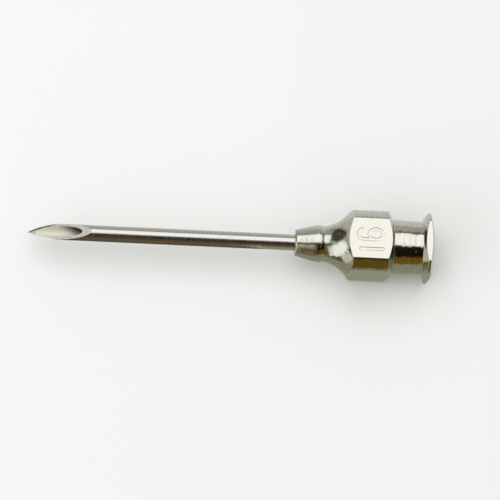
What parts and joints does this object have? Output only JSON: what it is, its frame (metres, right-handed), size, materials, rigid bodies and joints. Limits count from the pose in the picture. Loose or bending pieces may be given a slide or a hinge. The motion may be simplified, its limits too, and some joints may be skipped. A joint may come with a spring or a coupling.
{
  "type": "veterinary hypodermic needle",
  "caption": "Reusable injection needle: square metal hub with a tapered socket and lock flange, a bulged nose, and a straight hollow tube ground to a sharp bevelled point.",
  "frame": {"origin": "centre of the tapered socket's mouth, in the plane of the hub's end face", "axes": "+X along the bore, out of the mouth; the point lies towards -X; +Z square to the marked flat of the hub, the way the bevel opens; the needle lies on the opposite flat"},
  "size_m": [0.0414, 0.0064, 0.0064],
  "materials": {
    "hub_plated_brass": "polished nickel plate over turned brass",
    "cannula_steel": "drawn stainless tube, polished, with a ground bevel"
  },
  "bodies": {
    "root": {"hub": "hub_plated_brass", "cannula": "cannula_steel"}
  },
  "joints": []
}
